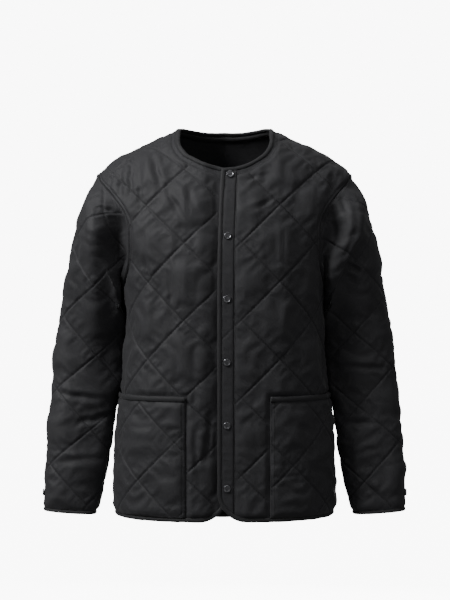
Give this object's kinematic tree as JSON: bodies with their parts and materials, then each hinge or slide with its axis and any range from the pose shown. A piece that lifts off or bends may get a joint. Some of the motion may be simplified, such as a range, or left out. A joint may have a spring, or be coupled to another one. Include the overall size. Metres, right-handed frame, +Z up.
{
  "type": "quilted jacket",
  "caption": "Collarless diamond-quilted jacket with a snap front, two patch pockets and bound edges, hollow as worn.",
  "frame": {"origin": "midway between the shoulders, level with the top of the shoulder seams at the neck, where the wearer's shoulders hold the jacket", "axes": "+Z up along the wearer's height, -Y the way the front faces, +X the wearer's left"},
  "size_m": [0.6526, 0.2905, 0.7183],
  "materials": {
    "quilted_cloth": "soft sheen black nylon taffeta over wadding",
    "binding_cloth": "black woven tape",
    "snap_metal": "dark painted metal, satin"
  },
  "bodies": {
    "root": {"back_panel": "quilted_cloth", "left_front": "quilted_cloth", "right_front": "quilted_cloth", "left_pocket": "quilted_cloth", "right_pocket": "quilted_cloth", "left_sleeve": "quilted_cloth", "right_sleeve": "quilted_cloth", "placket": "binding_cloth", "left_front_binding": "binding_cloth", "right_front_binding": "binding_cloth", "back_hem_binding": "binding_cloth", "back_neck_binding": "binding_cloth", "back_neck_tape": "binding_cloth", "left_pocket_binding": "binding_cloth", "right_pocket_binding": "binding_cloth", "left_cuff_binding": "binding_cloth", "right_cuff_binding": "binding_cloth", "snap_1": "snap_metal", "snap_2": "snap_metal", "snap_3": "snap_metal", "snap_4": "snap_metal", "snap_5": "snap_metal", "snap_6": "snap_metal", "left_cuff_snap": "snap_metal", "right_cuff_snap": "snap_metal"}
  },
  "joints": []
}
